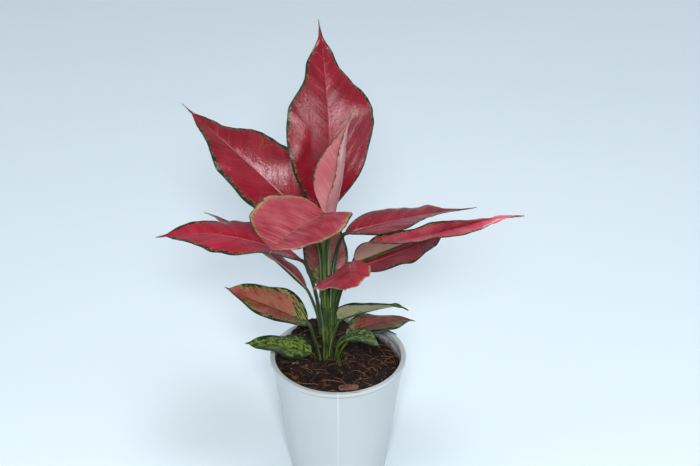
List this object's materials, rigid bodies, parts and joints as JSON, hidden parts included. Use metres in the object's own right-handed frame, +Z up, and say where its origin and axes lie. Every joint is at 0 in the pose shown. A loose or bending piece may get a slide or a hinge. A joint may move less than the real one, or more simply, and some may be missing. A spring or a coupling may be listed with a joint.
{
  "type": "potted chinese evergreen",
  "caption": "Young red-leaved Chinese evergreen growing in a tapered pale plastic nursery pot, with long pointed leaves round a short stem; free-standing house plant.",
  "frame": {"origin": "centre of the pot's flat base, where it stands", "axes": "+Z up along the pot's axis, -Y towards the side that the plant shows to the viewer, +X to the viewer's right"},
  "size_m": [0.2861, 0.2026, 0.377],
  "materials": {
    "pot_plastic": "smooth thin moulded plastic, slightly glossy, with a faint upright mould line",
    "coir_soil": "loose dark coir and peat with tangled brown fibres, matte",
    "bark": "rough broken bark, matte",
    "stem_green": "smooth green stem with paler streaks and sheath edges, satin",
    "leaf_red": "crimson blade with paler veins and a thin dark green speckled margin, waxy satin",
    "leaf_pink": "young pink blade with olive midrib and thin green speckled margin, waxy satin",
    "leaf_mixed": "salmon blade flecked with green, dark green margin, waxy satin",
    "leaf_green": "dark green blade with yellow green blotches, waxy satin"
  },
  "bodies": {
    "root": {"pot": "pot_plastic", "soil": "coir_soil", "bark_chip": "bark", "stem": "stem_green", "leaf_crown": "leaf_red", "leaf_unfurling": "leaf_pink", "leaf_front": "leaf_pink", "leaf_upper_right": "leaf_red", "leaf_upper_left": "leaf_red", "leaf_long_right": "leaf_red", "leaf_inner_right": "leaf_red", "leaf_left": "leaf_red", "leaf_back_left": "leaf_red", "leaf_back": "leaf_red", "leaf_small_front": "leaf_red", "leaf_folded_right": "leaf_green", "leaf_low_left": "leaf_mixed", "leaf_soil_left": "leaf_green", "leaf_low_right": "leaf_mixed", "leaf_curled_right": "leaf_green", "leaf_narrow_right": "leaf_green"}
  },
  "joints": []
}
